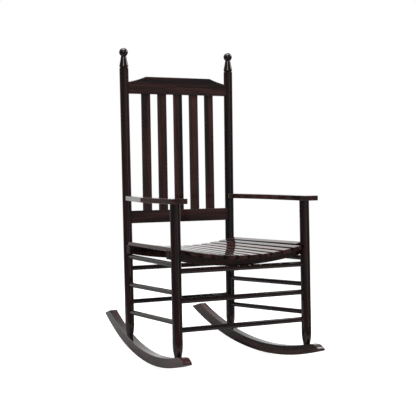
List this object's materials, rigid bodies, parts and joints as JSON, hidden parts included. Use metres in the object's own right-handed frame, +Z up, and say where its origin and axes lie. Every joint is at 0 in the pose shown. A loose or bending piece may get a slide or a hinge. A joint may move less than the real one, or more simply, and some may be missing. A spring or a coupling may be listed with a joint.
{
  "type": "rocking chair",
  "caption": "Wooden slat-back rocking chair with turned posts and finials, flat armrests, a dished slatted seat and long curved rockers.",
  "frame": {"origin": "centre of the bounding box in X and Y, on the floor under the rockers", "axes": "+X runs to the right when the chair is seen from the front, the chair faces -Y, +Z is up"},
  "size_m": [0.605, 0.82, 1.1398],
  "materials": {
    "lacquered_wood": "dark espresso lacquer, glossy, grain barely showing",
    "steel_hardware": "zinc-plated steel"
  },
  "bodies": {
    "root": {"armrest_bolts": "steel_hardware", "back_rung_lower": "lacquered_wood", "back_rung_upper": "lacquered_wood", "back_slat_1": "lacquered_wood", "back_slat_2": "lacquered_wood", "back_slat_3": "lacquered_wood", "back_slat_4": "lacquered_wood", "back_slat_5": "lacquered_wood", "crest_rail": "lacquered_wood", "front_rung_lower": "lacquered_wood", "front_rung_middle": "lacquered_wood", "front_rung_upper": "lacquered_wood", "front_seat_rail": "lacquered_wood", "left_armrest": "lacquered_wood", "left_back_post": "lacquered_wood", "left_front_leg": "lacquered_wood", "left_rocker": "lacquered_wood", "left_side_rung_lower": "lacquered_wood", "left_side_rung_middle": "lacquered_wood", "left_side_rung_upper": "lacquered_wood", "lower_back_rail": "lacquered_wood", "rear_seat_rail": "lacquered_wood", "right_armrest": "lacquered_wood", "right_back_post": "lacquered_wood", "right_front_leg": "lacquered_wood", "right_rocker": "lacquered_wood", "right_side_rung_lower": "lacquered_wood", "right_side_rung_middle": "lacquered_wood", "right_side_rung_upper": "lacquered_wood", "seat_rail_bolts": "steel_hardware", "seat_slat_1": "lacquered_wood", "seat_slat_10": "lacquered_wood", "seat_slat_11": "lacquered_wood", "seat_slat_12": "lacquered_wood", "seat_slat_2": "lacquered_wood", "seat_slat_3": "lacquered_wood", "seat_slat_4": "lacquered_wood", "seat_slat_5": "lacquered_wood", "seat_slat_6": "lacquered_wood", "seat_slat_7": "lacquered_wood", "seat_slat_8": "lacquered_wood", "seat_slat_9": "lacquered_wood", "seat_slat_screws": "steel_hardware"}
  },
  "joints": []
}
